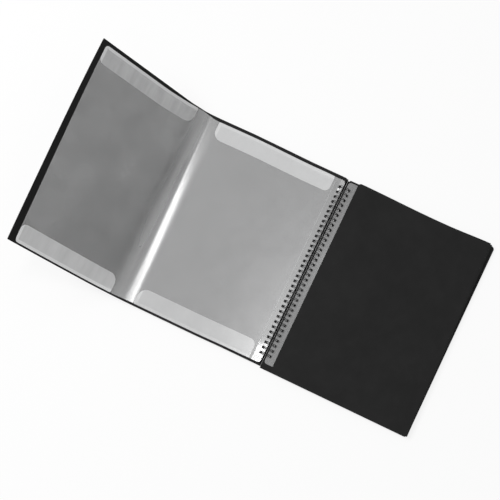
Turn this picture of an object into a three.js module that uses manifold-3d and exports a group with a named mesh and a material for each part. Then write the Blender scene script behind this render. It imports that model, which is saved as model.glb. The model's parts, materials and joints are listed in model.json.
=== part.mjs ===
import * as THREE from "three";
import { mergeVertices } from "three/addons/utils/BufferGeometryUtils.js";
import Module from "manifold-3d";

const wasm = await Module();
wasm.setup();

// Millimetres. X runs across the opened folder, Y along the binding, Z up. The right side is +X.

// Wire binding
const holePitch = 25.4 / 3;
const holeSize = 4;
const holeEndMargin = 12;
const wireDiameter = 1;
const loopRadius = 8;
const loopTurns = 344;
const fingerWidth = 2.2;
const loopSteps = 9;
const turnSteps = 3;
const wireSides = 5;
const wireGapNeeded = 0.4;

// Sheets
const coverThickness = 1;
const backingThickness = 0.5;
const filmThickness = 0.25;
const stripThickness = 0.25;
const coverBottom = 1.8;
const layerGap = 0.15;
const facingGap = 0.3;
const leafGap = 0.3;

// Plan sizes
const sheetHeight = 315.5;
const holeToFold = 228;
const coverOverhang = 3.5;
const coverInnerMargin = 4.5;
const coverCorner = 5;
const leafInnerMargin = 5;
const flapToHoles = 9.5;
const foldTab = 1.5;
const foldButtGap = 0.1;
const leftCorner = 1;
const rightCorner = 5;
const innerCorner = 2.5;

// Film, pocket strips and binding strip
const filmEndMargin = 4.75;
const filmCentre = -1;
const holeToSeam = 9.5;
const seamGap = 0.5;
const flapFilmMargin = 13.5;
const filmCorner = 4;
const pocketDepth = 27.5;
const pocketFoldCorner = 14;
const pocketFarCorner = 9;
const pocketFoldMargin = 20.5;
const pocketSeamMargin = 3.2;
const bindingStripInner = 4.2;
const bindingStripCorner = 2.5;

// Where the black sheets sit along the binding
const leftShift = -0.65;
const rightShift = -3.1;

// Score line that lets each cover bend beside the wire
const scoreDistance = 13;
const scoreWidth = 0.8;
const scoreDepth = 0.35;

// Angle of the raised left flap above the page, and of a closed flap
const raisedAngle = 46;
const closedAngle = 180;

// Sizes that follow from the ones above
const radians = THREE.MathUtils.degToRad;
const filmHeight = sheetHeight - 2 * filmEndMargin;
const holeCount = Math.floor((filmHeight - 2 * holeEndMargin) / holePitch) + 1;
const flapWidth = holeToFold - flapToHoles;
const flapFilmWidth = flapWidth - flapFilmMargin;
const loopAxisZ = wireDiameter / 2 + loopRadius;
const pageThickness = backingThickness + filmThickness + stripThickness + 2 * layerGap;
const closedThickness = 2 * pageThickness + facingGap;
const lowerLeafBottom = coverBottom + coverThickness + leafGap;
const topLeafBottom = lowerLeafBottom + closedThickness + leafGap;

// Materials
const blackPlastic = new THREE.MeshStandardMaterial({ color: 0x2a2a2b, roughness: 0.62, metalness: 0 });
const blackWire = new THREE.MeshStandardMaterial({ color: 0x19191a, roughness: 0.38, metalness: 0.6 });
const clearFilm = new THREE.MeshStandardMaterial({
  color: 0xd4d5d6,
  roughness: 0.2,
  metalness: 0,
  transparent: true,
  opacity: 0.45,
});

const folder = new THREE.Group();

function addMesh(parent, name, geometry, material) {
  const mesh = new THREE.Mesh(geometry, material.clone());
  mesh.name = name;
  parent.add(mesh);
}

// Distance of the wire loop from the binding axis at a height above the floor
function loopReach(z) {
  return Math.sqrt(loopRadius ** 2 - (loopAxisZ - z) ** 2);
}

// Rectangle with its own radius at each corner; radii run inner foot, outer foot, outer head, inner head
function roundedOutline(u0, u1, y0, y1, radii) {
  const [innerFoot, outerFoot, outerHead, innerHead] = radii;
  const corners = [
    [u0 + innerFoot, y0 + innerFoot, innerFoot],
    [u1 - outerFoot, y0 + outerFoot, outerFoot],
    [u1 - outerHead, y1 - outerHead, outerHead],
    [u0 + innerHead, y1 - innerHead, innerHead],
  ];
  const points = [];
  corners.forEach(([u, y, radius], k) => {
    const steps = radius > 8 ? 8 : 4;
    for (let i = 0; i <= steps; i++) {
      const angle = Math.PI + (Math.PI / 2) * (k + i / steps);
      points.push([u + radius * Math.cos(angle), y + radius * Math.sin(angle)]);
    }
  });
  return points;
}

// The row of square binding holes at a distance from the binding axis
function bindingHoles(u) {
  const holes = [];
  for (let i = 0; i < holeCount; i++) {
    const y = (i - (holeCount - 1) / 2) * holePitch;
    const h = holeSize / 2;
    holes.push([
      [u - h, y - h],
      [u - h, y + h],
      [u + h, y + h],
      [u + h, y - h],
    ]);
  }
  return holes;
}

function toVectors(points, side) {
  return points.map(([u, y]) => new THREE.Vector2(side * u, y));
}

// Flat sheet from an outline in plan, with its underside at the given height
function sheet(side, outline, holes, thickness, bottom) {
  const shape = new THREE.Shape(toVectors(outline, side));
  shape.holes = holes.map((hole) => new THREE.Path(toVectors(hole, side)));
  const geometry = new THREE.ExtrudeGeometry(shape, { depth: thickness, bevelEnabled: false });
  return geometry.translate(0, 0, bottom);
}

function toSolid(geometry) {
  const bare = geometry.clone();
  bare.deleteAttribute("normal");
  bare.deleteAttribute("uv");
  const merged = mergeVertices(bare, 1e-4);
  const mesh = new wasm.Mesh({
    numProp: 3,
    vertProperties: merged.attributes.position.array,
    triVerts: new Uint32Array(merged.index.array),
  });
  return new wasm.Manifold(mesh);
}

function toGeometry(solid) {
  const mesh = solid.getMesh();
  const geometry = new THREE.BufferGeometry();
  geometry.setAttribute("position", new THREE.BufferAttribute(mesh.vertProperties, 3));
  geometry.setIndex(new THREE.BufferAttribute(mesh.triVerts, 1));
  geometry.computeVertexNormals();
  return geometry;
}

// Binding wire: fingers bent round into loops, joined along the base under the folder
class WirePath extends THREE.Curve {
  constructor(points) {
    super();
    this.points = points;
  }

  getPoint(t, target = new THREE.Vector3()) {
    const along = THREE.MathUtils.clamp(t, 0, 1) * (this.points.length - 1);
    const i = Math.min(Math.floor(along), this.points.length - 2);
    return target.lerpVectors(this.points[i], this.points[i + 1], along - i);
  }

  getUtoTmapping(u) {
    return u;
  }
}

// A point of the loop surface: angle from straight down, positive towards the left side at the base
function onLoop(angle, y) {
  const half = radians(loopTurns / loopSteps / 2);
  const radius = (2 * loopRadius) / (1 + Math.cos(half));
  return new THREE.Vector3(-radius * Math.sin(angle), y, loopAxisZ - radius * Math.cos(angle));
}

function wirePoints() {
  const points = [];
  const seam = radians((360 - loopTurns) / 2);
  const tip = 2 * Math.PI - seam;
  const half = fingerWidth / 2;
  const turnAngle = half / loopRadius;
  const baseRadius = (holePitch - fingerWidth) / 2;
  for (let i = 0; i < holeCount; i++) {
    const y = (i - (holeCount - 1) / 2) * holePitch;
    const first = seam + turnAngle;
    const last = tip - turnAngle;
    for (let k = 0; k <= loopSteps; k++) {
      points.push(onLoop(first + ((last - first) * k) / loopSteps, y - half));
    }
    for (let k = 1; k < turnSteps; k++) {
      const turn = (Math.PI * k) / turnSteps;
      points.push(onLoop(last + turnAngle * Math.sin(turn), y - half * Math.cos(turn)));
    }
    for (let k = loopSteps; k >= 0; k--) {
      points.push(onLoop(first + ((last - first) * k) / loopSteps, y + half));
    }
    if (i < holeCount - 1) {
      for (let k = 1; k < turnSteps; k++) {
        const turn = (Math.PI * k) / turnSteps;
        const along = y + holePitch / 2 - baseRadius * Math.cos(turn);
        points.push(onLoop(first - turnAngle * Math.sin(turn), along));
      }
    }
  }
  return points;
}

function wireSection() {
  const corners = [];
  for (let i = 0; i < wireSides; i++) {
    const angle = (2 * Math.PI * i) / wireSides;
    corners.push(new THREE.Vector2(Math.cos(angle), Math.sin(angle)).multiplyScalar(wireDiameter / 2));
  }
  return new THREE.Shape(corners);
}

// Smallest distance between two stretches of the wire that don't follow each other
function leastWireGap(points) {
  const fine = [];
  for (let i = 0; i < points.length - 1; i++) {
    for (let k = 0; k < 6; k++) {
      fine.push(new THREE.Vector3().lerpVectors(points[i], points[i + 1], k / 6));
    }
  }
  const along = [0];
  for (let i = 1; i < fine.length; i++) {
    along.push(along[i - 1] + fine[i].distanceTo(fine[i - 1]));
  }
  let least = Infinity;
  for (let i = 0; i < fine.length; i++) {
    for (let j = i + 1; j < Math.min(fine.length, i + 700); j++) {
      if (along[j] - along[i] > Math.PI * fingerWidth) {
        least = Math.min(least, fine[i].distanceTo(fine[j]));
      }
    }
  }
  return least - wireDiameter;
}

const wire = wirePoints();
const wireGap = leastWireGap(wire);
console.log("least gap of the wire to itself, mm:", wireGap.toFixed(2));
if (wireGap < wireGapNeeded) {
  throw new Error("the wire comes too close to itself");
}
const wireGeometry = new THREE.ExtrudeGeometry(wireSection(), {
  steps: wire.length - 1,
  extrudePath: new WirePath(wire),
  bevelEnabled: false,
});
addMesh(folder, "binding_wire", wireGeometry, blackWire);

// Covers
function addCover(name, side, shift) {
  const hole = loopReach(coverBottom + coverThickness / 2);
  const y0 = shift - sheetHeight / 2;
  const y1 = shift + sheetHeight / 2;
  const radii = [innerCorner, coverCorner, coverCorner, innerCorner];
  const outer = hole + holeToFold + coverOverhang;
  const outline = roundedOutline(hole - coverInnerMargin, outer, y0, y1, radii);
  const plain = sheet(side, outline, bindingHoles(hole), coverThickness, coverBottom);
  const score = new THREE.BoxGeometry(scoreWidth, sheetHeight + 2, 2 * scoreDepth);
  score.translate(side * (hole + scoreDistance), shift, coverBottom);
  addMesh(folder, name, toGeometry(toSolid(plain).subtract(toSolid(score))), blackPlastic);
}

// Curved web that joins page and flap round the fold axis, between two radii, with a short tab at each end
function foldWeb(side, angle, innerRadius, outerRadius, y0, y1) {
  const steps = Math.max(4, Math.round(angle / 18));
  const outer = [];
  const inner = [];
  for (let i = 0; i <= steps; i++) {
    const turn = radians((angle * i) / steps - 90);
    outer.push([outerRadius * Math.cos(turn), outerRadius * Math.sin(turn)]);
    inner.push([innerRadius * Math.cos(turn), innerRadius * Math.sin(turn)]);
  }
  const end = radians(angle);
  const tab = foldTab - foldButtGap;
  const slide = ([u, z]) => [u + tab * Math.cos(end), z + tab * Math.sin(end)];
  const points = [
    [-tab, -outerRadius],
    ...outer,
    slide(outer[steps]),
    slide(inner[steps]),
    ...inner.reverse(),
    [-tab, -innerRadius],
  ];
  const geometry = new THREE.ExtrudeGeometry(new THREE.Shape(toVectors(points, side)), {
    depth: y1 - y0,
    bevelEnabled: false,
  });
  geometry.rotateX(Math.PI / 2);
  return geometry.translate(0, y1, 0);
}

// Fold-out leaf: black backing faced with clear film, pocket strips and binding strip
function addLeaf(name, side, bottom, angle, shift, corner) {
  const hole = loopReach(bottom + pageThickness / 2);
  const fold = hole + holeToFold;
  const foldZ = bottom + closedThickness / 2;
  const holes = bindingHoles(hole);
  const filmBottom = bottom + backingThickness + layerGap;
  const stripBottom = filmBottom + filmThickness + layerGap;
  const foot = shift - sheetHeight / 2;
  const head = shift + sheetHeight / 2;
  const filmFoot = filmCentre - filmHeight / 2;
  const filmHead = filmFoot + filmHeight;
  const seam = hole + holeToSeam;
  const footPocketTop = filmFoot + pocketDepth;
  const headPocketFoot = filmHead - pocketDepth;

  const pageRadii = [innerCorner, corner, corner, innerCorner];
  const pageOutline = roundedOutline(hole - leafInnerMargin, fold - foldTab, foot, head, pageRadii);
  const pageBacking = sheet(side, pageOutline, holes, backingThickness, bottom);
  addMesh(folder, name + "_page_backing", pageBacking, blackPlastic);

  const stripRadii = [bindingStripCorner, 0.5, 0.5, bindingStripCorner];
  const bandOutline = roundedOutline(hole - bindingStripInner, seam, filmFoot, filmHead, stripRadii);
  const band = sheet(side, bandOutline, holes, filmThickness, filmBottom);
  addMesh(folder, name + "_binding_strip", band, clearFilm);

  const filmOutline = roundedOutline(seam + seamGap, fold - foldTab, filmFoot, filmHead, [0.5, 1, 1, 0.5]);
  const pageFilm = sheet(side, filmOutline, [], filmThickness, filmBottom);
  addMesh(folder, name + "_page_film", pageFilm, clearFilm);

  const stripStart = seam + pocketSeamMargin;
  const stripEnd = fold - pocketFoldMargin;
  const footRadii = [2, 2, pocketFoldCorner, pocketFarCorner];
  const headRadii = [pocketFarCorner, pocketFoldCorner, 2, 2];
  const footOutline = roundedOutline(stripStart, stripEnd, filmFoot, footPocketTop, footRadii);
  const headOutline = roundedOutline(stripStart, stripEnd, headPocketFoot, filmHead, headRadii);
  const footStrip = sheet(side, footOutline, [], stripThickness, stripBottom);
  const headStrip = sheet(side, headOutline, [], stripThickness, stripBottom);
  addMesh(folder, name + "_page_foot_strip", footStrip, clearFilm);
  addMesh(folder, name + "_page_head_strip", headStrip, clearFilm);

  // Flap, built flat beyond the fold and then turned about the fold axis
  const flap = new THREE.Group();
  flap.position.set(side * fold, 0, foldZ);
  flap.rotation.y = -side * radians(angle);
  const backingAt = bottom - foldZ;
  const filmAt = filmBottom - foldZ;
  const stripAt = stripBottom - foldZ;

  const flapOutline = roundedOutline(foldTab, flapWidth, foot, head, [corner, corner, corner, corner]);
  const flapBacking = sheet(side, flapOutline, [], backingThickness, backingAt);
  addMesh(flap, name + "_flap_backing", flapBacking, blackPlastic);

  const flapFilmRadii = [1, filmCorner, filmCorner, 1];
  const flapFilmOutline = roundedOutline(foldTab, flapFilmWidth, filmFoot, filmHead, flapFilmRadii);
  addMesh(flap, name + "_flap_film", sheet(side, flapFilmOutline, [], filmThickness, filmAt), clearFilm);

  const flapFootRadii = [2, filmCorner, pocketFarCorner, pocketFoldCorner];
  const flapHeadRadii = [pocketFoldCorner, pocketFarCorner, filmCorner, 2];
  const flapStart = pocketFoldMargin;
  const flapFoot = roundedOutline(flapStart, flapFilmWidth, filmFoot, footPocketTop, flapFootRadii);
  const flapHead = roundedOutline(flapStart, flapFilmWidth, headPocketFoot, filmHead, flapHeadRadii);
  addMesh(flap, name + "_flap_foot_strip", sheet(side, flapFoot, [], stripThickness, stripAt), clearFilm);
  addMesh(flap, name + "_flap_head_strip", sheet(side, flapHead, [], stripThickness, stripAt), clearFilm);
  folder.add(flap);

  // Fold webs of backing and film, round the fold axis
  const backingOuter = foldZ - bottom;
  const backingInner = backingOuter - backingThickness;
  const filmOuter = foldZ - filmBottom;
  const filmInner = filmOuter - filmThickness;
  const backingWeb = foldWeb(side, angle, backingInner, backingOuter, foot + corner, head - corner);
  const filmWeb = foldWeb(side, angle, filmInner, filmOuter, filmFoot + 1, filmHead - 1);
  addMesh(folder, name + "_fold_backing", backingWeb.translate(side * fold, 0, foldZ), blackPlastic);
  addMesh(folder, name + "_fold_film", filmWeb.translate(side * fold, 0, foldZ), clearFilm);
}

addCover("left_cover", -1, leftShift);
addCover("right_cover", 1, rightShift);
addLeaf("left_lower", -1, lowerLeafBottom, closedAngle, leftShift, leftCorner);
addLeaf("left_top", -1, topLeafBottom, raisedAngle, leftShift, leftCorner);
addLeaf("right_lower", 1, lowerLeafBottom, closedAngle, rightShift, rightCorner);
addLeaf("right_top", 1, topLeafBottom, closedAngle, rightShift, rightCorner);

// Origin at the centre of the footprint, on the floor
const box = new THREE.Box3().setFromObject(folder);
const centre = box.getCenter(new THREE.Vector3());
for (const piece of folder.children) {
  piece.position.sub(new THREE.Vector3(centre.x, centre.y, box.min.z));
}
const bindingAxis = [-centre.x, -centre.y, loopAxisZ - box.min.z];
console.log("binding axis, mm:", ...bindingAxis.map((v) => v.toFixed(3)));

export default folder;
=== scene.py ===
import json
import math

import bmesh
import bpy
from mathutils import Matrix, Vector


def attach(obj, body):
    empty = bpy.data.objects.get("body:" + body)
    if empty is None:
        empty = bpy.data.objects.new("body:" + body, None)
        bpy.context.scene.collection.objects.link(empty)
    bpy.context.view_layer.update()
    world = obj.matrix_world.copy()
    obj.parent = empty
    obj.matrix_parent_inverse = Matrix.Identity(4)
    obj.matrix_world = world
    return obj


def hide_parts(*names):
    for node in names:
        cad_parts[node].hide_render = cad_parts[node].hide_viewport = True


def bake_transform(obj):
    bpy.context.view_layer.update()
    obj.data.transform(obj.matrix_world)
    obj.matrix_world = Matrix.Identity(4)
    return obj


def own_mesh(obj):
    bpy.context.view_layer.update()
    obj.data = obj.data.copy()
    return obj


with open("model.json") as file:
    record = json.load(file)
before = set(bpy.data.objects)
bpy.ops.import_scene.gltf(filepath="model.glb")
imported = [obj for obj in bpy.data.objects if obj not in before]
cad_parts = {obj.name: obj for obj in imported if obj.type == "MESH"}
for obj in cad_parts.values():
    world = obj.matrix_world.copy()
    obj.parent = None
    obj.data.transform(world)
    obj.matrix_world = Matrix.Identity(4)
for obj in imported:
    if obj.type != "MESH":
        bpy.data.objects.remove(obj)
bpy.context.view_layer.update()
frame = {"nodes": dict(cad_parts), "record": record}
joints = {j["name"]: j for j in frame["record"]["behaviour"]["joints"]}

# Millimetres below, metres in the scene. u is the distance from the binding axis, y runs along it,
# s is the distance along a sheet from the binding axis, h the height above a leaf's middle plane.
MM = 0.001
SPINE_X, SPINE_Y, SPINE_Z = (1000 * v for v in joints["left_cover_turn"]["pos_m"])
FOLD_U = SPINE_X - 1000 * joints["left_flap_fold"]["pos_m"][0]
FOLD_Z = 1000 * joints["left_flap_fold"]["pos_m"][2]
LEFT, RIGHT = -1, 1
RAISED, CLOSED = 46.0, 180.0  # degrees that a flap is turned about its fold

# Heights of a leaf's layers
BACK_LOW, BACK_HIGH = -1.45, -0.95
FILM_LOW, FILM_HIGH = -0.8, -0.55
STRIP_LOW, STRIP_HIGH = -0.4, -0.15

# Outlines
LEFT_FOOT, LEFT_HEAD = -158.4, 157.1
RIGHT_FOOT, RIGHT_HEAD = -160.85, 154.65
PAGE_FILM_FOOT, PAGE_FILM_HEAD = -154.8, 151.7
RIGHT_FILM_FOOT, RIGHT_FILM_HEAD = -151.9, 152.9
HOLE_COUNT, HOLE_PITCH, HOLE = 34, 25.4 / 3, 4.0
HOLE_U = 7.848
HOLE_ROW = [HOLE_U - HOLE / 2, HOLE_U + HOLE / 2]
PAGE_START, PAGE_CORNER = HOLE_U - 5.5, 2.5
BINDING_START, BINDING_CORNER = HOLE_U - 5.2, 4.5
SEAM_U, SEAM_WIDTH = 17.35, 0.9
FLAP_END, FLAP_CORNER = FOLD_U + 218.5, 1.0
FILM_END, FILM_CORNER = FOLD_U + 205.0, 5.0


def place(side, u, y, z):
    return Vector((SPINE_X + side * u, SPINE_Y + y, z)) * MM


def smooth(t):
    t = min(1.0, max(0.0, t))
    return t * t * (3 - 2 * t)


def stepped(s, level, *steps_up):
    """level plus smooth steps, each given by its height, its start and its width."""
    for height, start, width in steps_up:
        level += height * smooth((s - start) / width)
    return level


def between(v, foot, middle, head):
    """Runs smoothly from the foot's value through the middle's to the head's as v goes from 0 to 1."""
    return foot * (1 - v) * (1 - 2 * v) + 4 * middle * v * (1 - v) + head * v * (2 * v - 1)


def up_the_leaf(y):
    return (y - LEFT_FOOT) / (LEFT_HEAD - LEFT_FOOT)


# The raised leaf's bend: angles, starts and widths of four turns, each at foot, middle and head
TURNS = (
    ((8.0, 7.5, 4.8), (203, 206, 206), (19, 20, 22)),
    ((34.0, 47.5, 47.2), (222, 226, 231), (42, 30, 22)),
    ((8.7, -9.7, -8.0), (264, 260, 256), (60, 34, 22)),
    ((5.3, 0.8, 0.0), (330, 330, 330), (115, 115, 115)),
)
BEND_FROM, BEND_STEP, BEND_TO = 200.0, 0.5, 458.0
BEND_ROWS = 60
ROW_STEP = (LEFT_HEAD - LEFT_FOOT) / BEND_ROWS


def bend_angle(s, y):
    v = up_the_leaf(y)
    angle = 0.0
    for amount, start, width in TURNS:
        angle += between(v, *amount) * smooth((s - between(v, *start)) / between(v, *width))
    return math.radians(angle)


def bend_row(y):
    """The bent section at y: u, z and angle at each step from BEND_FROM."""
    u, z = BEND_FROM, FOLD_Z
    row = [(u, z, 0.0)]
    for i in range(round((BEND_TO - BEND_FROM) / BEND_STEP)):
        a = bend_angle(BEND_FROM + (i + 0.5) * BEND_STEP, y)
        u += BEND_STEP * math.cos(a)
        z += BEND_STEP * math.sin(a)
        row.append((u, z, bend_angle(BEND_FROM + (i + 1) * BEND_STEP, y)))
    return row


bend_rows = [bend_row(LEFT_FOOT + k * ROW_STEP) for k in range(BEND_ROWS + 1)]

# How far the left leaf's lifted head and foot edges show further out, as steps along the leaf, and
# the y past which they do
HEAD_SHIFT = ((0.5, 12, 25), (2.9, 50, 115), (-2.9, 235, 45))
FOOT_SHIFT = ((1.0, 40, 80), (0.4, 235, 60))
SHIFT_FROM, SHIFT_WIDTH = 40, 110


def edge_shift(s, y):
    head = stepped(s, 0.0, *HEAD_SHIFT) * smooth((y - SHIFT_FROM) / SHIFT_WIDTH)
    foot = stepped(s, 0.0, *FOOT_SHIFT) * smooth((-SHIFT_FROM - y) / SHIFT_WIDTH)
    return head - foot


def raised_point(s, y, h):
    """A point of the raised left leaf, h above its middle surface."""
    y_at = y + edge_shift(s, y)
    if s <= BEND_FROM:
        return place(LEFT, s, y_at, FOLD_Z + h)
    across = (y - LEFT_FOOT) / ROW_STEP
    k = min(max(int(across), 0), BEND_ROWS - 1)
    along = (s - BEND_FROM) / BEND_STEP
    i = min(int(along), len(bend_rows[0]) - 2)
    q, t = across - k, along - i
    u, z, a = (
        (bend_rows[k][i][m] * (1 - t) + bend_rows[k][i + 1][m] * t) * (1 - q)
        + (bend_rows[k + 1][i][m] * (1 - t) + bend_rows[k + 1][i + 1][m] * t) * q
        for m in range(3)
    )
    return place(LEFT, u - h * math.sin(a), y_at, z + h * math.cos(a))


def flap_point(foot, middle, head):
    """As raised_point, slid along the flap: its free edge stands out of square by the given amounts."""
    def point(s, y, h):
        slide = between(up_the_leaf(y), foot, middle, head)
        return raised_point(s + (s - FOLD_U) / (FLAP_END - FOLD_U) * slide, y, h)
    return point


def flat_point(side, middle):
    return lambda s, y, h: place(side, s, y, middle + h)


# Grid lines and outlines
SAME_LINE = 0.02
CORNER_PARTS = 6


def merge_lines(*groups):
    """Sorted grid lines without near doubles."""
    out = []
    for v in sorted(v for g in groups for v in g):
        if not out or v - out[-1] > SAME_LINE:
            out.append(v)
    return out


def steps(a, b, size):
    n = max(1, round((b - a) / size))
    return [a + (b - a) * i / n for i in range(n + 1)]


def shares(n):
    return [i / n for i in range(n + 1)]


def corner_lines(edge, radius, inward):
    """Grid lines that follow a rounded corner."""
    turns = [math.pi / 2 * i / CORNER_PARTS for i in range(CORNER_PARTS + 1)]
    return [edge + inward * radius * (1 - math.cos(a)) for a in turns]


def rounded_edge(s, start, end):
    """How far an outline draws in at s. start and end are an edge's s and its corner's radius, or None."""
    if start and s < start[0] + start[1]:
        edge, radius = start
        return radius - math.sqrt(max(0.0, radius * radius - (edge + radius - s) ** 2))
    if end and s > end[0] - end[1]:
        edge, radius = end
        return radius - math.sqrt(max(0.0, radius * radius - (s - edge + radius) ** 2))
    return 0.0


def as_function(value):
    return value if callable(value) else (lambda *where: value)


def outline(level, inward, start=None, end=None):
    """A foot or head edge as a function of s: a level, or a function of s, with rounded corners."""
    level_at = as_function(level)
    return lambda s: level_at(s) + inward * rounded_edge(s, start, end)


def outlines(foot, head, start=None, end=None):
    return outline(foot, 1, start, end), outline(head, -1, start, end)


def even_columns(s_lines, foot_at, head_at, parts):
    """Grid columns whose y lines keep their shares of the distance between the two edges."""
    return [[foot_at(s) + (head_at(s) - foot_at(s)) * v for v in parts] for s in s_lines]


def hole_lines():
    out = []
    for i in range(HOLE_COUNT):
        y = (i - (HOLE_COUNT - 1) / 2) * HOLE_PITCH
        out += [y - HOLE / 2, y + HOLE / 2]
    return out


inner_y = hole_lines()


def holed_columns(s_lines, foot_at, head_at):
    return [[foot_at(s), *inner_y, head_at(s)] for s in s_lines]


def holes(s_lines, row=HOLE_ROW):
    """Says which cells are holes: those inside the row, in every second column from the first gap on."""
    low, high = row[0] - SAME_LINE, row[1] + SAME_LINE
    return lambda i, j: s_lines[i] > low and s_lines[i + 1] < high and j % 2 == 1


# Meshes
SHARP_IN_SHEET, SHARP_IN_WIRE = 16, 60  # degrees from which an edge isn't shaded smooth


def new_object(name, bm, material, slot, sharp):
    bmesh.ops.recalc_face_normals(bm, faces=bm.faces)
    for f in bm.faces:
        f.smooth = True
    limit = math.radians(sharp)
    for e in bm.edges:
        if len(e.link_faces) == 2 and e.calc_face_angle(0) > limit:
            e.smooth = False
    mesh = bpy.data.meshes.new(name)
    bm.to_mesh(mesh)
    bm.free()
    obj = bpy.data.objects.new(name, mesh)
    bpy.context.scene.collection.objects.link(obj)
    mesh.materials.append(material)
    return obj


def layer(name, s_lines, columns, point, low, high, material, slot, hole=None, rim=None):
    """A closed thin sheet on a grid. columns gives the y values at each s line; low and high are the heights
    of its two faces, as numbers or functions of s and y; hole says which cells are cut out; rim, a function
    of s and y, is kept as an attribute for the material."""
    bm = bmesh.new()
    rim_layer = bm.verts.layers.float.new("rim")
    grid = []
    for s, ys in zip(s_lines, columns):
        pair = []
        for h_at in (as_function(low), as_function(high)):
            row = []
            for y in ys:
                v = bm.verts.new(point(s, y, h_at(s, y)))
                v[rim_layer] = rim(s, y) if rim else 0.0
                row.append(v)
            pair.append(row)
        grid.append(pair)
    nu, ny = len(s_lines) - 1, len(columns[0]) - 1
    kept = [[not (hole and hole(i, j)) for j in range(ny)] for i in range(nu)]

    def there(i, j):
        return 0 <= i < nu and 0 <= j < ny and kept[i][j]

    for i in range(nu):
        for j in range(ny):
            if not kept[i][j]:
                continue
            for k in (0, 1):
                a, b = grid[i][k], grid[i + 1][k]
                bm.faces.new((a[j], b[j], b[j + 1], a[j + 1]))
            sides = (
                ((i - 1, j), (i, j), (i, j + 1)),
                ((i + 1, j), (i + 1, j), (i + 1, j + 1)),
                ((i, j - 1), (i, j), (i + 1, j)),
                ((i, j + 1), (i, j + 1), (i + 1, j + 1)),
            )
            for (ni, nj), (pi, pj), (qi, qj) in sides:
                if not there(ni, nj):
                    (p_low, p_high), (q_low, q_high) = grid[pi], grid[qi]
                    bm.faces.new((p_low[pj], q_low[qj], q_high[qj], p_high[pj]))
    loose = [v for v in bm.verts if not v.link_faces]
    bmesh.ops.delete(bm, geom=loose, context="VERTS")
    return new_object(name, bm, material, slot, SHARP_IN_SHEET)


def tube(name, points, radius, sides, material, slot):
    """A closed tube along points."""
    turns = [2 * math.pi * k / sides for k in range(sides)]
    bm = bmesh.new()
    rings = []
    across = None
    for i, p in enumerate(points):
        ahead = (points[min(i + 1, len(points) - 1)] - points[max(i - 1, 0)]).normalized()
        if across is None:
            across = ahead.orthogonal().normalized()
        across = (across - ahead * across.dot(ahead)).normalized()
        up = ahead.cross(across)
        rings.append([bm.verts.new(p + (across * math.cos(a) + up * math.sin(a)) * radius) for a in turns])
    for a, b in zip(rings, rings[1:]):
        for k in range(sides):
            bm.faces.new((a[k], a[(k + 1) % sides], b[(k + 1) % sides], b[k]))
    bm.faces.new(list(reversed(rings[0])))
    bm.faces.new(rings[-1])
    return new_object(name, bm, material, slot, SHARP_IN_WIRE)


# Materials
NOISE_RANGE = (0.3, 0.7)
MIX_FACTOR, MIX_A, MIX_B = 0, 2, 3


def set_inputs(node, values):
    for key, value in values.items():
        node.inputs[key].default_value = value


def add(tree, kind, inputs=None, **settings):
    node = tree.nodes.new(kind)
    set_inputs(node, inputs or {})
    for key, value in settings.items():
        setattr(node, key, value)
    return node


def new_material(name):
    material = bpy.data.materials.new(name)
    material.use_nodes = True
    tree = material.node_tree
    coords = add(tree, "ShaderNodeTexCoord").outputs["Object"]
    return material, tree, tree.nodes["Principled BSDF"], coords


def noise(tree, coords, scale, detail=2.0, roughness=0.5, stretch=None):
    node = add(tree, "ShaderNodeTexNoise", {"Scale": scale, "Detail": detail, "Roughness": roughness})
    if stretch:
        mapping = add(tree, "ShaderNodeMapping", {"Scale": stretch})
        tree.links.new(coords, mapping.inputs["Vector"])
        coords = mapping.outputs["Vector"]
    tree.links.new(coords, node.inputs["Vector"])
    return node.outputs["Fac"]


def ranged(tree, value, low, high):
    """Maps the middle range of a noise to low and high."""
    node = add(tree, "ShaderNodeMapRange", {"From Min": NOISE_RANGE[0], "From Max": NOISE_RANGE[1],
                                            "To Min": low, "To Max": high})
    tree.links.new(value, node.inputs["Value"])
    return node.outputs["Result"]


def grey(tree, value):
    node = add(tree, "ShaderNodeCombineColor")
    for name in ("Red", "Green", "Blue"):
        tree.links.new(value, node.inputs[name])
    return node.outputs["Color"]


def bump(tree, height, distance, strength, normal=None):
    node = add(tree, "ShaderNodeBump", {"Strength": strength, "Distance": distance})
    tree.links.new(height, node.inputs["Height"])
    if normal is not None:
        tree.links.new(normal, node.inputs["Normal"])
    return node.outputs["Normal"]


def black_sheet_material():
    """Matt black polypropylene with a fine embossed grain and faint cloudy handling marks."""
    material, tree, shader, coords = new_material("black_sheet")
    cloud = noise(tree, coords, scale=11.0, detail=4.0, roughness=0.6)
    tree.links.new(grey(tree, ranged(tree, cloud, 0.013, 0.015)), shader.inputs["Base Color"])
    sheen = noise(tree, coords, scale=45.0, detail=3.0)
    tree.links.new(ranged(tree, sheen, 0.52, 0.66), shader.inputs["Roughness"])
    grain = noise(tree, coords, scale=2300.0)
    waves = bump(tree, noise(tree, coords, scale=14.0, detail=1.0), distance=0.0006, strength=0.25)
    tree.links.new(bump(tree, grain, distance=0.00005, strength=0.3, normal=waves), shader.inputs["Normal"])
    set_inputs(shader, {"Specular IOR Level": 0.1})
    return material


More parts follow.
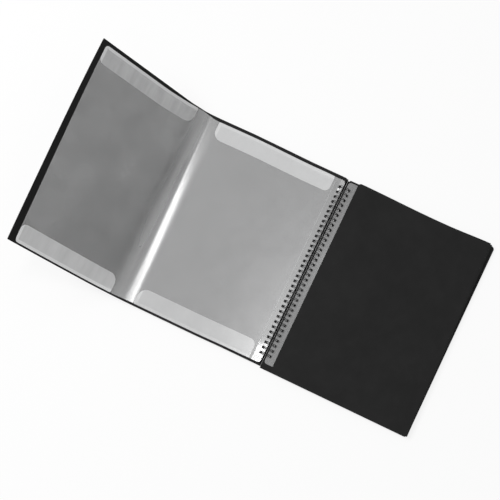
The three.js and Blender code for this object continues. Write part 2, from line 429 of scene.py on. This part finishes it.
def film_material(name, haze, cover, rim_cover, ripple, streaks=None):
    """Clear film with a slight milky haze, faint ripples and a glossy face. haze is its grey level, cover the
    least and most that it covers, rim_cover what it covers at full rim; streaks stretches the pattern."""
    material, tree, shader, coords = new_material(name)
    cloud = noise(tree, coords, scale=16.0, detail=3.0, roughness=0.55, stretch=streaks)
    rim = add(tree, "ShaderNodeAttribute", attribute_name="rim", attribute_type="GEOMETRY").outputs["Fac"]
    mixed = add(tree, "ShaderNodeMix", data_type="FLOAT")
    tree.links.new(rim, mixed.inputs[MIX_FACTOR])
    tree.links.new(ranged(tree, cloud, *cover), mixed.inputs[MIX_A])
    set_inputs(mixed, {MIX_B: rim_cover})
    tree.links.new(mixed.outputs[0], shader.inputs["Alpha"])
    sheen = noise(tree, coords, scale=60.0)
    tree.links.new(ranged(tree, sheen, 0.165, 0.205), shader.inputs["Roughness"])
    wavy = noise(tree, coords, scale=24.0, detail=1.0, stretch=(1.0, 0.45, 1.0))
    waves = bump(tree, wavy, distance=0.001, strength=ripple)
    fine = noise(tree, coords, scale=900.0)
    tree.links.new(bump(tree, fine, distance=0.00002, strength=0.25, normal=waves), shader.inputs["Normal"])
    set_inputs(shader, {
        "Base Color": (haze, haze * 1.004, haze * 1.008, 1), "IOR": 1.5, "Specular IOR Level": 1.0,
        "Coat Weight": 1.0, "Coat Roughness": 0.14,
    })
    return material


def wire_material():
    """Black nylon-coated steel: satin, with small thin spots where loops rub."""
    material, tree, shader, coords = new_material("black_wire")
    worn = noise(tree, coords, scale=420.0, detail=4.0, roughness=0.6)
    tree.links.new(grey(tree, ranged(tree, worn, 0.008, 0.02)), shader.inputs["Base Color"])
    tree.links.new(ranged(tree, worn, 0.5, 0.3), shader.inputs["Roughness"])
    rough = noise(tree, coords, scale=1500.0)
    tree.links.new(bump(tree, rough, distance=0.00003, strength=0.4), shader.inputs["Normal"])
    set_inputs(shader, {"Coat Weight": 0.1, "Coat Roughness": 0.3})
    return material


POCKET_STREAKS = (4.0, 0.7, 4.0)

# Each film's haze, cover, rim_cover and ripple; the haze of the pockets runs in streaks across them
black = black_sheet_material()
# On the leaf's page and flap, the rim of film and hazy_film is the painted sheen by the bend; on the left
# binding strip it is the weld seam
film = film_material("clear_film", 0.82, (0.256, 0.274), 0.40, 0.05)
hazy_film = film_material("clear_film_flap", 0.82, (0.222, 0.305), 0.40, 0.06)
# Painted shade: a darker copy of the film, with less cover, for the right binding strip, which lies in more
# shade
shaded_right_film = film_material("clear_film_right_painted_shade", 0.80, (0.16, 0.18), 0.25, 0.06)
# Painted shade: a nearly clear film for the lower leaves' binding strips, so that they show dark through the
# holes above them, where shade falls
shaded_margin_film = film_material("clear_margin_painted_shade", 0.82, (0.02, 0.04), 0.05, 0.04)
pocket_film = film_material("pocket_film", 0.84, (0.370, 0.395), 0.50, 0.05, POCKET_STREAKS)
hazy_pocket_film = film_material("pocket_film_flap", 0.84, (0.325, 0.450), 0.80, 0.05, POCKET_STREAKS)
# Painted light: lighter copies of the pocket film for the page's head pocket and the flap's foot pocket,
# which catch more light
lit_pocket_film = film_material("pocket_film_lit", 0.86, (0.480, 0.505), 0.62, 0.05, POCKET_STREAKS)
most_lit_pocket_film = film_material("pocket_film_most_lit", 0.95, (0.52, 0.65), 0.97, 0.05, POCKET_STREAKS)
wire_black = wire_material()

# Raised left leaf: one sheet of backing and one of film, bent over the fold, in a page and a flap part
MIDDLE_OF = {
    "back": (BACK_LOW + BACK_HIGH) / 2,
    "film": (FILM_LOW + FILM_HIGH) / 2,
    "strip": (STRIP_LOW + STRIP_HIGH) / 2,
}
turn = math.radians(RAISED)
flap_normal = Vector((math.sin(turn), 0, math.cos(turn)))


def flatten_page(obj, part):
    """Hangs the piece, which rises towards the fold, on the top page and gives it a mesh of its own."""
    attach(obj, "left_top_page")
    anchor = place(LEFT, FOLD_U, 0, FOLD_Z + MIDDLE_OF[part])
    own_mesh(obj)


def flatten_flap(obj, part):
    """Hangs the piece, with its twist and curl, on the top flap and gives it a mesh of its own."""
    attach(obj, "left_top_flap")
    anchor = place(LEFT, FOLD_U, 0, FOLD_Z) + flap_normal * MIDDLE_OF[part] * MM
    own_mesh(obj)


# Grid lines: coarse on the flat page, fine from BEND_FROM to FINE_TO, coarse again on the outer flap
PAGE_LINES = [60, 110, 160, 195]
FINE_TO = 290
BACK_FINE, BACK_COARSE, BACK_COARSE_TO = 1.2, 6, 440
FILM_FINE, FILM_COARSE, FILM_COARSE_TO = 0.8, 5, 430
BACK_ROWS, FILM_ROWS = 44, 60

# How far the free edges of the flap's backing and film stand out of square, at foot, middle and head
back_flap_point = flap_point(-3.2, -1.3, -0.2)
film_flap_point = flap_point(-2.2, 2.0, 5.3)

lines = merge_lines(corner_lines(PAGE_START, PAGE_CORNER, 1), HOLE_ROW, [20], PAGE_LINES,
                    steps(BEND_FROM, FOLD_U, BACK_FINE))
columns = holed_columns(lines, *outlines(LEFT_FOOT, LEFT_HEAD, start=(PAGE_START, PAGE_CORNER)))
page_back = layer("left_page_sheet", lines, columns, raised_point, BACK_LOW, BACK_HIGH, black,
                  "black_sheet", hole=holes(lines))
flatten_page(page_back, "back")
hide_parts("left_top_page_backing")

lines = merge_lines(steps(FOLD_U, FINE_TO, BACK_FINE), steps(FINE_TO, BACK_COARSE_TO, BACK_COARSE),
                    corner_lines(FLAP_END, FLAP_CORNER, -1))
columns = even_columns(lines, *outlines(LEFT_FOOT, LEFT_HEAD, end=(FLAP_END, FLAP_CORNER)), shares(BACK_ROWS))
flap_back = layer("left_flap_sheet", lines, columns, back_flap_point, BACK_LOW, BACK_HIGH, black,
                  "black_sheet")
flatten_flap(flap_back, "back")
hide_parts("left_top_flap_backing")


# The left film's edges: steps past the page's margins to the flap's
def film_foot(s):
    return stepped(s, PAGE_FILM_FOOT, (-1.0, 222, 28))


def film_head(s):
    return stepped(s, PAGE_FILM_HEAD, (3.7, 222, 28), (-4.1, 245, 85))


# Where the painted sheen by the bend is measured from and how strong it is, at foot, middle and head, and the
# start and width of its rise and its fall past there
CREASE_AT, CREASE_STRENGTH = (219, 223.5, 226), (0.2, 0.75, 0.8)
CREASE_RISE, CREASE_FALL = (12, 7), (22, 22)


def painted_crease_sheen(s, y):
    """Painted sheen: the film's haze is made whiter in a band just past the streak of light on the page,
    where the bend catches the light.
    """
    v = up_the_leaf(y)
    past = s - between(v, *CREASE_AT)
    rise, fall = (smooth((past - start) / width) for start, width in (CREASE_RISE, CREASE_FALL))
    return between(v, *CREASE_STRENGTH) * rise * (1 - fall)


lines = merge_lines([SEAM_U + 0.05], PAGE_LINES, steps(BEND_FROM, FOLD_U, FILM_FINE))
columns = even_columns(lines, film_foot, film_head, shares(FILM_ROWS))
page_film = layer("left_page_film", lines, columns, raised_point, FILM_LOW, FILM_HIGH, film, "clear_film",
                  rim=painted_crease_sheen)
flatten_page(page_film, "film")
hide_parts("left_top_page_film")

lines = merge_lines(steps(FOLD_U, FINE_TO, FILM_FINE), steps(FINE_TO, FILM_COARSE_TO, FILM_COARSE),
                    corner_lines(FILM_END, FILM_CORNER, -1))
columns = even_columns(lines, *outlines(film_foot, film_head, end=(FILM_END, FILM_CORNER)), shares(FILM_ROWS))
flap_film = layer("left_flap_film", lines, columns, film_flap_point, FILM_LOW, FILM_HIGH, hazy_film,
                  "clear_film", rim=painted_crease_sheen)
flatten_flap(flap_film, "film")
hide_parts("left_top_flap_film")

# Pocket strips of the raised leaf, with a raised whiter weld along their closed edges
POCKET_DEPTH = 27.5
POCKET_START = SEAM_U + 3.2
POCKET_STEP = 5.0
POCKET_GAP = 0.08  # lines nearer than this to the one before are left out
POCKET_ROWS = [0, 0.03, 0.06, 0.1, 0.14, 0.18, 0.3, 0.4, 0.5, 0.6, 0.7, 0.82, 0.86, 0.9, 0.94, 0.97, 1]
WELD_LINES = (1.5, 3.5)
WELD_WIDTH, WELD_SLOPE, WELD_HEIGHT = 5.2, 1.6, 0.1
# Corner radii at the start and the end of the welded edge, then of the open mouth
PAGE_POCKET_CORNERS = ((2, 2), (9, 14))
FLAP_POCKET_CORNERS = ((2, 5), (14, 9))


def pocket(name, s0, s1, at_head, corners, point, material):
    """A strip welded along the head or the foot of the leaf and along its end."""
    weld, mouth = corners
    foot_radii, head_radii = (mouth, weld) if at_head else (weld, mouth)

    def foot_at(s):
        return film_head(s) - POCKET_DEPTH if at_head else film_foot(s)

    def head_at(s):
        return film_head(s) if at_head else film_foot(s) + POCKET_DEPTH

    def rim(s, y):
        from_weld = head_at(s) - y if at_head else y - foot_at(s)
        return smooth((WELD_WIDTH - min(from_weld, s1 - s)) / WELD_SLOPE)

    def top(s, y):
        return STRIP_HIGH + WELD_HEIGHT * rim(s, y)

    widest_start, widest_end = (max(pair) for pair in zip(foot_radii, head_radii))
    near_ends = [s0 + d for d in WELD_LINES] + [s1 - d for d in WELD_LINES]
    merged = merge_lines(corner_lines(s0, widest_start, 1), corner_lines(s1, widest_end, -1),
                         steps(s0, s1, POCKET_STEP), near_ends)
    s_lines = merged[:1] + [b for a, b in zip(merged, merged[1:]) if b - a > POCKET_GAP]
    foot = outline(foot_at, 1, (s0, foot_radii[0]), (s1, foot_radii[1]))
    head = outline(head_at, -1, (s0, head_radii[0]), (s1, head_radii[1]))
    columns = even_columns(s_lines, foot, head, POCKET_ROWS)
    return layer(name, s_lines, columns, point, STRIP_LOW, top, material, "clear_film", rim=rim)


for name, node, s0, s1, at_head, corners, point, flatten, material in (
    ("left_page_foot_pocket", "left_top_page_foot_strip", POCKET_START, 212.5, False, PAGE_POCKET_CORNERS,
     raised_point, flatten_page, pocket_film),
    # The page's head pocket takes the lighter copy, painted light
    ("left_page_head_pocket", "left_top_page_head_strip", POCKET_START, 219.0, True, PAGE_POCKET_CORNERS,
     raised_point, flatten_page, lit_pocket_film),
    # The flap's foot pocket takes the lightest copy, painted light
    ("left_flap_foot_pocket", "left_top_flap_foot_strip", 251.8, FILM_END, False, FLAP_POCKET_CORNERS,
     film_flap_point, flatten_flap, most_lit_pocket_film),
    ("left_flap_head_pocket", "left_top_flap_head_strip", 261.0, FILM_END, True, FLAP_POCKET_CORNERS,
     film_flap_point, flatten_flap, hazy_pocket_film),
):
    obj = pocket(name, s0, s1, at_head, corners, point, material)
    flatten(obj, "strip")
    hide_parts(node)

# Perforated binding strips, with the weld seam that parts them from the film
SEAM_HEIGHT = 0.12
SEAM_SLOPE = SEAM_WIDTH * 0.3
BINDING_LINES = merge_lines(corner_lines(BINDING_START, BINDING_CORNER, 1), HOLE_ROW, [11, 13, 15],
                            [SEAM_U - SEAM_WIDTH, SEAM_U - SEAM_WIDTH * 0.7, SEAM_U - SEAM_SLOPE, SEAM_U])
# Lifts: start and width along y, slope across the strip, its top, and where it is down and over what width
LEFT_HEAD_LIFT = (126, 15, 0.066, 10.5, 16, 5.5)
LEFT_FOOT_LIFT = (118, 18, 0.040, 16.3, SEAM_U, SEAM_WIDTH)
RIGHT_LIFT_FROM, RIGHT_LIFT_WIDTH, RIGHT_LIFT_SLOPE = 40, 120, 0.03


def end_lift(s, along, start, width, slope, top, down, down_width):
    """An end stands up once along is past start: it rises across the strip to top and is down at down."""
    rise = (min(s, top) - BINDING_START) * slope
    return smooth((along - start) / width) * rise * smooth((down - s) / down_width)


def left_lift(s, y):
    """The left strip stands up a little at its head and foot ends, where it catches the lamp."""
    return end_lift(s, y, *LEFT_HEAD_LIFT) + end_lift(s, -y, *LEFT_FOOT_LIFT)


def right_lift(s, y):
    """The right strip rises a little towards its foot."""
    return smooth((RIGHT_LIFT_FROM - y) / RIGHT_LIFT_WIDTH) * (s - BINDING_START) * RIGHT_LIFT_SLOPE


def binding_strip(name, side, foot, head, lift, material):
    def rim(s, y):
        return smooth((s - SEAM_U + SEAM_WIDTH) / SEAM_SLOPE)

    def bottom(s, y):
        return FILM_LOW + lift(s, y)

    def top(s, y):
        return FILM_HIGH + SEAM_HEIGHT * rim(s, y) + lift(s, y)

    columns = holed_columns(BINDING_LINES, *outlines(foot, head, start=(BINDING_START, BINDING_CORNER)))
    return layer(name, BINDING_LINES, columns, flat_point(side, FOLD_Z), bottom, top, material,
                 "clear_film", hole=holes(BINDING_LINES), rim=rim)


for name, side, foot, head, node, body, lift, material in (
    ("left_binding_strip_sheet", LEFT, PAGE_FILM_FOOT, PAGE_FILM_HEAD, "left_top_binding_strip",
     "left_top_page", left_lift, film),
    # The right strip takes the darker copy of the film, painted shade
    ("right_binding_strip_sheet", RIGHT, RIGHT_FILM_FOOT, RIGHT_FILM_HEAD, "right_top_binding_strip",
     "right_top_page", right_lift, shaded_right_film),
):
    obj = binding_strip(name, side, foot, head, lift, material)
    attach(obj, body)
    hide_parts(node)

# Fold webs: smooth strips bent round each fold
WEB_TAB = 1.4
WEB_ARC_STEP, WEB_ARC_LEAST = 6, 6
WEB_ROWS = 12
WEB_END_AT = 0.2  # how far onto the page and the flap the points at a web's two ends are taken
WEB_FILM_FOOT, WEB_FILM_HEAD = -153.0, 151.0


def fold_web(name, side, angle, outer, thickness, foot, head, material, slot):
    """Section from the page's end round the fold axis to the flap's end, at one distance from the axis."""
    n = max(WEB_ARC_LEAST, round(angle / WEB_ARC_STEP))
    turn_end = math.radians(angle)
    last = n + 2

    def web_point(i, y, h):
        radius = outer - h
        if i == 0:
            return place(side, FOLD_U - WEB_TAB, y, FOLD_Z - radius)
        if i == last:
            u = radius * math.sin(turn_end) + WEB_TAB * math.cos(turn_end)
            z = -radius * math.cos(turn_end) + WEB_TAB * math.sin(turn_end)
            return place(side, FOLD_U + u, y, FOLD_Z + z)
        a = turn_end * (i - 1) / n
        return place(side, FOLD_U + radius * math.sin(a), y, FOLD_Z - radius * math.cos(a))

    rows = list(range(last + 1))
    columns = even_columns(rows, as_function(foot), as_function(head), shares(WEB_ROWS))
    return layer(name, rows, columns, web_point, 0.0, thickness, material, slot)


for side, leaf, angle, back_foot, back_head in (
    (LEFT, "left_top", RAISED, LEFT_FOOT + 1, LEFT_HEAD - 1),
    (RIGHT, "right_top", CLOSED, RIGHT_FOOT + 1.2, RIGHT_HEAD - 0.2),
):
    end = math.radians(angle)
    for part, outer, thickness, foot, head, material, slot in (
        ("backing", -BACK_LOW, BACK_HIGH - BACK_LOW, back_foot, back_head, black, "black_sheet"),
        ("film", -FILM_LOW, FILM_HIGH - FILM_LOW, WEB_FILM_FOOT, WEB_FILM_HEAD, film, "clear_film"),
    ):
        web = fold_web(f"{leaf}_{part}_web", side, angle, outer, thickness, foot, head, material, slot)
        start_at = place(side, FOLD_U - WEB_END_AT, 0, FOLD_Z - outer)
        end_at = place(side, FOLD_U + outer * math.sin(end) + WEB_END_AT * math.cos(end), 0,
                       FOLD_Z - outer * math.cos(end) + WEB_END_AT * math.sin(end))
        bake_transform(web)
        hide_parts(f"{leaf}_fold_{part}")

# Closed right leaf: the page under the flap, whose matt back faces up
RIGHT_START, RIGHT_CORNER = FOLD_U - 218.9, 5.0
RIGHT_END = FOLD_U - 1.5
RIGHT_PAGE_LINES, RIGHT_FLAP_STEP = steps(12, RIGHT_END, 9), 6
PAGE_UNDER_FLAP = 1.6  # how far the page's head edge lies inside the flap's


def right_head(s):
    """The head edge bows: out beside the wire, in past the middle and out again at the fold."""
    return stepped(s, RIGHT_HEAD + 2.9, (-3.4, 5, 150), (1.9, 165, 70))


lines = merge_lines(corner_lines(PAGE_START, PAGE_CORNER, 1), HOLE_ROW, RIGHT_PAGE_LINES)
columns = holed_columns(lines, *outlines(RIGHT_FOOT, lambda s: right_head(s) - PAGE_UNDER_FLAP,
                                         start=(PAGE_START, PAGE_CORNER)))
right_page = layer("right_page_sheet", lines, columns, flat_point(RIGHT, FOLD_Z), BACK_LOW, BACK_HIGH,
                   black, "black_sheet", hole=holes(lines))
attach(right_page, "right_top_page")
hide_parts("right_top_page_backing")

lines = merge_lines(corner_lines(RIGHT_START, RIGHT_CORNER, 1),
                    steps(RIGHT_START + RIGHT_CORNER, RIGHT_END, RIGHT_FLAP_STEP))
columns = even_columns(lines, *outlines(RIGHT_FOOT, right_head, start=(RIGHT_START, RIGHT_CORNER)),
                       shares(BACK_ROWS))
right_flap = layer("right_flap_sheet", lines, columns, flat_point(RIGHT, FOLD_Z), -BACK_HIGH, -BACK_LOW,
                   black, "black_sheet")
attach(right_flap, "right_top_flap")
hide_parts("right_top_flap_backing")

# Covers: their inner margins nearly meet under the wire, partly as the covers lie and partly as painted
# shade, black sheet filling the shaded gap there; and the right one stands out further at the head
COVER_LOW, COVER_HIGH = 1.92, 2.92
COVER_START, COVER_INNER_CORNER, COVER_OUTER_CORNER = 0.1, 0.4, 5.0
COVER_HOLE_U, HOLES_TO_FOLD, OVERHANG = 5.06, 228, 3.5
# Painted shade: the covers' holes are narrower than the pages' 4 mm holes, so that black sheet fills the
# shade below the holes
COVER_HOLE_ROW = [COVER_HOLE_U - 1.9, COVER_HOLE_U + 1.3]
COVER_END = COVER_HOLE_U + HOLES_TO_FOLD + OVERHANG
SCORE_U, SCORE_WIDTH, SCORE_SLOPE, SCORE_DEPTH = 18.06, 0.6, 0.3, 0.35
SCORE_LINES = [17.6, 17.8, 18.3, 18.5]
SKEW_FROM = 200.0


def score(s, y):
    """The cover's upper face, with the score line that it flexes along."""
    return COVER_HIGH - SCORE_DEPTH * smooth((SCORE_WIDTH - abs(s - SCORE_U)) / SCORE_SLOPE)


def skewed(point, amount, foot, head):
    """Slides points past SKEW_FROM outward by up to amount at the head, none at the foot."""
    def moved(s, y, h):
        share = max(0.0, s - SKEW_FROM) / (COVER_END - SKEW_FROM)
        return point(s + share * amount * min(1.0, max(0.0, (y - foot) / (head - foot))), y, h)
    return moved


for name, side, outer, skew, foot, head in (
    ("left_cover", LEFT, COVER_END, 0.0, LEFT_FOOT, LEFT_HEAD),
    ("right_cover", RIGHT, COVER_END + 1.0, 5.2, RIGHT_FOOT, RIGHT_HEAD),
):
    lines = merge_lines(corner_lines(COVER_START, COVER_INNER_CORNER, 1), COVER_HOLE_ROW, SCORE_LINES,
                        corner_lines(outer, COVER_OUTER_CORNER, -1))
    columns = holed_columns(lines, *outlines(foot, head, (COVER_START, COVER_INNER_CORNER),
                                             (outer, COVER_OUTER_CORNER)))
    cover = layer(name + "_sheet", lines, columns, skewed(flat_point(side, 0.0), skew, foot, head),
                  COVER_LOW, score, black, "black_sheet", hole=holes(lines, COVER_HOLE_ROW))
    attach(cover, name)
    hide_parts(name)

# Binding wire: one round wire bent into 34 twin loops
WIRE_RADIUS, WIRE_SIDES = 0.45, 8
LOOP_RADIUS, LOOP_HALF_WIDTH = 8.0, 1.1
LOOP_OPENING = math.radians(8)  # half of the angle left open under the loops
LOOP_PARTS, END_PARTS = 28, 8


def wire_path():
    width = LOOP_HALF_WIDTH / LOOP_RADIUS
    base = (HOLE_PITCH - 2 * LOOP_HALF_WIDTH) / 2
    first, last = LOOP_OPENING + width, 2 * math.pi - LOOP_OPENING - width
    loop = [first + (last - first) * k / LOOP_PARTS for k in range(LOOP_PARTS + 1)]
    bends = [math.pi * k / END_PARTS for k in range(1, END_PARTS)]
    out = []

    def add_point(angle, y):
        x, z = -LOOP_RADIUS * math.sin(angle), SPINE_Z - LOOP_RADIUS * math.cos(angle)
        out.append(Vector((SPINE_X + x, SPINE_Y + y, z)) * MM)

    for i in range(HOLE_COUNT):
        y = (i - (HOLE_COUNT - 1) / 2) * HOLE_PITCH
        for a in loop:
            add_point(a, y - LOOP_HALF_WIDTH)
        for b in bends:
            add_point(last + width * math.sin(b), y - LOOP_HALF_WIDTH * math.cos(b))
        for a in reversed(loop):
            add_point(a, y + LOOP_HALF_WIDTH)
        if i < HOLE_COUNT - 1:
            for b in bends:
                add_point(first - width * math.sin(b), y + HOLE_PITCH / 2 - base * math.cos(b))
    return out


wire = tube("twin_loop_wire", wire_path(), WIRE_RADIUS * MM, WIRE_SIDES, wire_black, "black_wire")
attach(wire, "binding")
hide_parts("binding_wire")

# Carried-over solids take the same finishes, but the lower leaves' binding strips take the nearly clear film
# that paints the shade in the holes above them
FINISHES = (
    (("binding_wire",), wire_black),
    (("_cover", "backing"), black),
    (("lower_binding_strip",), shaded_margin_film),
    (("_foot_strip", "_head_strip"), pocket_film),
    (("",), film),
)
for name, obj in frame["nodes"].items():
    obj.data.materials.clear()
    obj.data.materials.append(next(material for endings, material in FINISHES if name.endswith(endings)))

# Floor, world, lights and camera. To the camera the floor glows a little and the world is white; both keep
# their plain levels for the light that they give.
FLOOR_SIZE, FLOOR_Z = 12, -0.0005
FLOOR_GREY, FLOOR_GLOW = 0.9, 0.8
WORLD_LEVEL = 0.345
ENERGY_PER_LEVEL = 4  # watts per square metre of lamp for a radiance of 1
FOCAL_PIXELS, PHOTO_PIXELS, SENSOR = 1002.41, 500, 36.0
CAMERA_AT = (0.150826, -0.234914, 1.499907)
CAMERA_TURNS = (("Z", -0.43546), ("Y", -0.10843), ("X", -0.15263))


def floor_material():
    material = bpy.data.materials.new("pale_floor")
    material.use_nodes = True
    tree = material.node_tree
    shader = tree.nodes["Principled BSDF"]
    set_inputs(shader, {"Base Color": (FLOOR_GREY, FLOOR_GREY, FLOOR_GREY, 1), "Roughness": 0.9,
                        "Specular IOR Level": 0.1})
    path = add(tree, "ShaderNodeLightPath")
    glow = add(tree, "ShaderNodeEmission", {"Color": (1, 1, 1, 1)})
    share = add(tree, "ShaderNodeMath", {1: FLOOR_GLOW}, operation="MULTIPLY")
    mix = add(tree, "ShaderNodeMixShader")
    tree.links.new(path.outputs["Is Camera Ray"], share.inputs[0])
    for i, output in enumerate((share.outputs[0], shader.outputs[0], glow.outputs[0])):
        tree.links.new(output, mix.inputs[i])
    tree.links.new(mix.outputs[0], tree.nodes["Material Output"].inputs["Surface"])
    return material


bpy.ops.mesh.primitive_plane_add(size=FLOOR_SIZE, location=(0, 0, FLOOR_Z))
floor = bpy.context.object
floor.name = "floor"
floor.data.materials.append(floor_material())

world = bpy.data.worlds.new("studio")
bpy.context.scene.world = world
world.use_nodes = True
tree = world.node_tree
background = tree.nodes["Background"]
set_inputs(background, {"Color": (1, 1, 1, 1)})
path = add(tree, "ShaderNodeLightPath")
level = add(tree, "ShaderNodeMapRange", {"To Min": WORLD_LEVEL, "To Max": 1.0})
tree.links.new(path.outputs["Is Camera Ray"], level.inputs["Value"])
tree.links.new(level.outputs["Result"], background.inputs["Strength"])


def softbox(name, centre, size_x, size_y, radiance):
    """Rectangular lamp that faces the frame's origin; radiance is the level that its face shows."""
    data = bpy.data.lights.new(name, "AREA")
    data.shape = "RECTANGLE"
    data.size, data.size_y = size_x, size_y
    data.energy = radiance * ENERGY_PER_LEVEL * size_x * size_y
    obj = bpy.data.objects.new(name, data)
    bpy.context.scene.collection.objects.link(obj)
    obj.location = centre
    obj.rotation_mode = "QUATERNION"
    obj.rotation_quaternion = (-Vector(centre)).to_track_quat("-Z", "Y")


softbox("strip_light", centre=(0.50, 1.38, 12.0), size_x=0.93, size_y=2.7, radiance=26.0)
softbox("left_softbox", centre=(-1.72, 0.0, 2.46), size_x=1.5, size_y=1.5, radiance=6.2)

camera_data = bpy.data.cameras.new("photo_camera")
camera = bpy.data.objects.new("photo_camera", camera_data)
bpy.context.scene.collection.objects.link(camera)
camera_data.sensor_width = SENSOR
camera_data.lens = FOCAL_PIXELS / PHOTO_PIXELS * SENSOR
camera_data.clip_start, camera_data.clip_end = 0.05, 50.0
turn_z, turn_y, turn_x = (Matrix.Rotation(angle, 3, axis) for axis, angle in CAMERA_TURNS)
to_camera = turn_z @ turn_y @ turn_x
camera.matrix_world = Matrix.Translation(CAMERA_AT) @ to_camera.transposed().to_4x4()
bpy.context.scene.camera = camera
bpy.context.scene.view_settings.view_transform = "Standard"
